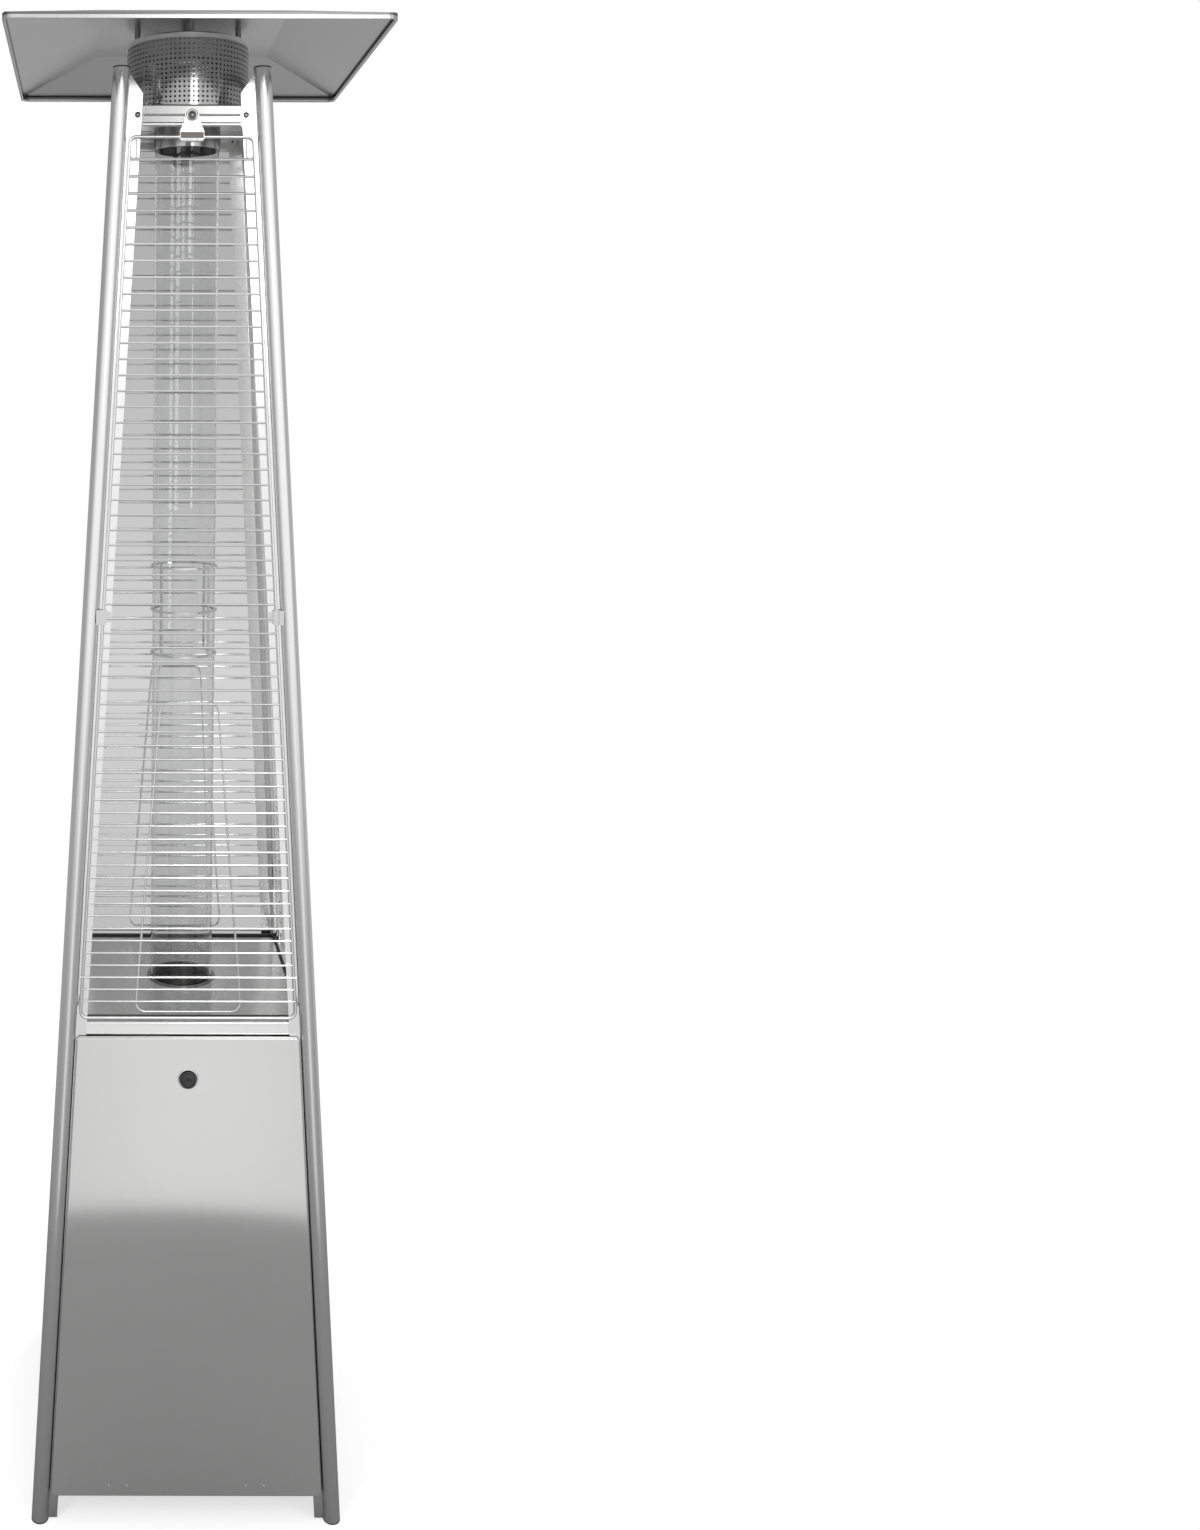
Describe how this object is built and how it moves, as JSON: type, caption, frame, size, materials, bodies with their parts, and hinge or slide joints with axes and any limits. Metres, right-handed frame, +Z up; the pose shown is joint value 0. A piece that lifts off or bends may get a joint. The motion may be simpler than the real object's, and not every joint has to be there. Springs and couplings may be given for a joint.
{
  "type": "patio heater",
  "caption": "Tall four-sided gas patio heater with a glass flame tube behind wire guards, a cabinet for the bottle and a square reflector.",
  "frame": {"origin": "on the floor, under the middle of the heater", "axes": "+Z up, the door and knob face -Y, +X is to the right of someone facing the door"},
  "size_m": [0.544, 0.544, 2.2771],
  "materials": {
    "frame_steel": "satin brushed stainless steel, grain along the post",
    "plug_plastic": "moulded black plastic, fine texture",
    "panel_steel": "satin brushed stainless steel, upright grain",
    "pan_steel": "satin brushed stainless steel, level grain",
    "tray_steel": "grey powder coat",
    "reflector_metal": "bright rolled aluminium, faint rolling lines",
    "emitter_steel": "perforated stainless steel, slightly heat tinted",
    "wire_steel": "drawn bright wire, welded",
    "clip_steel": "plain stamped stainless steel",
    "fastener_steel": "bright plated",
    "hinge_steel": "zinc plated sheet",
    "glass": "clear quartz glass",
    "gasket": "heat resistant fibre and silicone",
    "burner_steel": "plain steel darkened by heat",
    "brass": "turned brass, satin",
    "valve_metal": "die cast, matt",
    "knob_plastic": "moulded black plastic, satin gloss",
    "switch_plastic": "moulded black plastic",
    "wheel_plastic": "moulded black plastic"
  },
  "bodies": {
    "root": {"leg_front_left": "frame_steel", "leg_front_right": "frame_steel", "leg_rear_left": "frame_steel", "leg_rear_right": "frame_steel", "leg_foot_plugs": "plug_plastic", "leg_top_plugs": "plug_plastic", "side_panel_left": "panel_steel", "side_panel_right": "panel_steel", "rear_panel": "panel_steel", "burner_deck": "pan_steel", "top_pan": "pan_steel", "glass_seat_ring": "pan_steel", "emitter_cap": "pan_steel", "bottle_tray": "tray_steel", "wheel_bracket": "tray_steel", "valve_bracket": "tray_steel", "reflector": "reflector_metal", "emitter_screen": "emitter_steel", "guard_front": "wire_steel", "guard_left": "wire_steel", "guard_rear": "wire_steel", "guard_right": "wire_steel", "glass_coupling_cage": "wire_steel", "guard_clips": "clip_steel", "guard_latches": "clip_steel", "glass_collar": "clip_steel", "frame_screws": "fastener_steel", "reflector_bolts": "fastener_steel", "reflector_nuts": "fastener_steel", "reflector_spacers": "fastener_steel", "hinge_pins": "fastener_steel", "hinge_frame_leaves": "hinge_steel", "glass_tube_lower": "glass", "glass_tube_upper": "glass", "glass_gasket": "gasket", "burner_bowl": "burner_steel", "burner_head": "burner_steel", "venturi_tube": "burner_steel", "pilot_burner": "burner_steel", "thermocouple": "burner_steel", "spark_electrode": "burner_steel", "wheel_axle": "burner_steel", "gas_orifice": "brass", "gas_inlet": "brass", "valve_body": "valve_metal", "gas_pipe": "valve_metal", "tilt_switch": "switch_plastic", "magnet_catch": "switch_plastic"},
    "door": {"front_door": "panel_steel", "hinge_door_leaves": "hinge_steel", "door_rivets": "panel_steel", "catch_plate": "hinge_steel"},
    "plunger": {"valve_plunger": "valve_metal"},
    "knob": {"control_knob": "knob_plastic", "valve_spindle": "brass"},
    "left_wheel": {"wheel_left": "wheel_plastic"},
    "right_wheel": {"wheel_right": "wheel_plastic"}
  },
  "joints": [
    {"name": "door_hinge", "type": "hinge", "parent": "root", "child": "door", "pos_m": [0, -0.22517, 0.04324], "axis": [1, 0, 0], "range_deg": [0, 90]},
    {"name": "valve_push", "type": "slide", "parent": "root", "child": "plunger", "axis": [0, 1, 0], "range_m": [0, 0.004], "stiffness_N_per_m": 800, "springref_m": -0.002},
    {"name": "knob_turn", "type": "hinge", "parent": "plunger", "child": "knob", "pos_m": [0, -0.16907, 0.684], "axis": [0, -1, 0], "range_deg": [0, 240]},
    {"name": "left_wheel_spin", "type": "hinge", "parent": "root", "child": "left_wheel", "pos_m": [-0.152, 0.249, 0.025], "axis": [1, 0, 0], "continuous": true},
    {"name": "right_wheel_spin", "type": "hinge", "parent": "root", "child": "right_wheel", "pos_m": [0.152, 0.249, 0.025], "axis": [1, 0, 0], "continuous": true}
  ]
}
